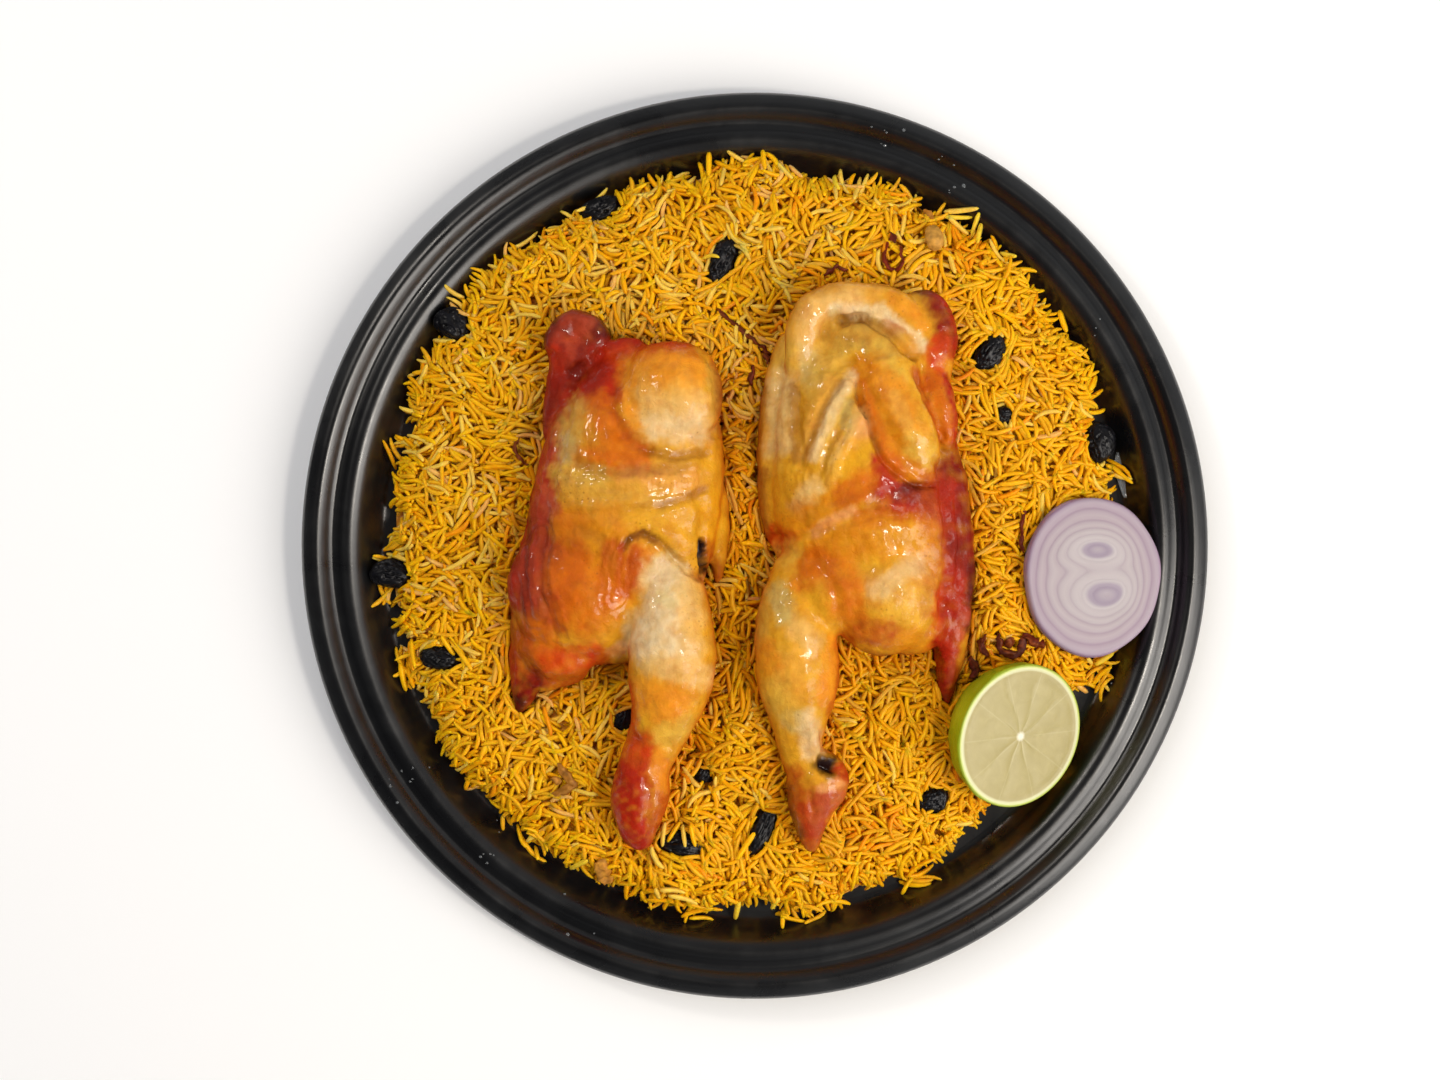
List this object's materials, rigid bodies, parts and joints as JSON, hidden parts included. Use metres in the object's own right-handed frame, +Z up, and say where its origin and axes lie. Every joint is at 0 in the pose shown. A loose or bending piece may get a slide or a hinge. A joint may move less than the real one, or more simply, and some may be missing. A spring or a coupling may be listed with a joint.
{
  "type": "plate of chicken mandi",
  "caption": "Round black dinner plate heaped with yellow rice, roast chicken halves lying skin side up, an onion slice, a cut lime and black raisins.",
  "frame": {"origin": "on the table under the middle of the plate", "axes": "+Z up out of the food, +Y to the far side of the plate as pictured from above, +X to the picture's right"},
  "size_m": [0.355, 0.356, 0.0609],
  "materials": {
    "plate": "satin black melamine",
    "rice": "moist yellow basmati rice",
    "chicken": "glossy roasted skin",
    "lime": "wet pale lime pulp and green rind",
    "onion": "translucent pale lilac onion",
    "raisin": "wrinkled black raisin skin"
  },
  "bodies": {
    "root": {"plate": "plate", "rice_heap": "rice", "chicken_half_left": "chicken", "chicken_half_right": "chicken", "lime_half": "lime", "onion_slice": "onion", "raisin_01": "raisin", "raisin_02": "raisin", "raisin_03": "raisin", "raisin_04": "raisin", "raisin_05": "raisin", "raisin_06": "raisin", "raisin_07": "raisin", "raisin_08": "raisin", "raisin_09": "raisin", "raisin_10": "raisin", "raisin_11": "raisin", "raisin_12": "raisin", "raisin_13": "raisin"}
  },
  "joints": []
}
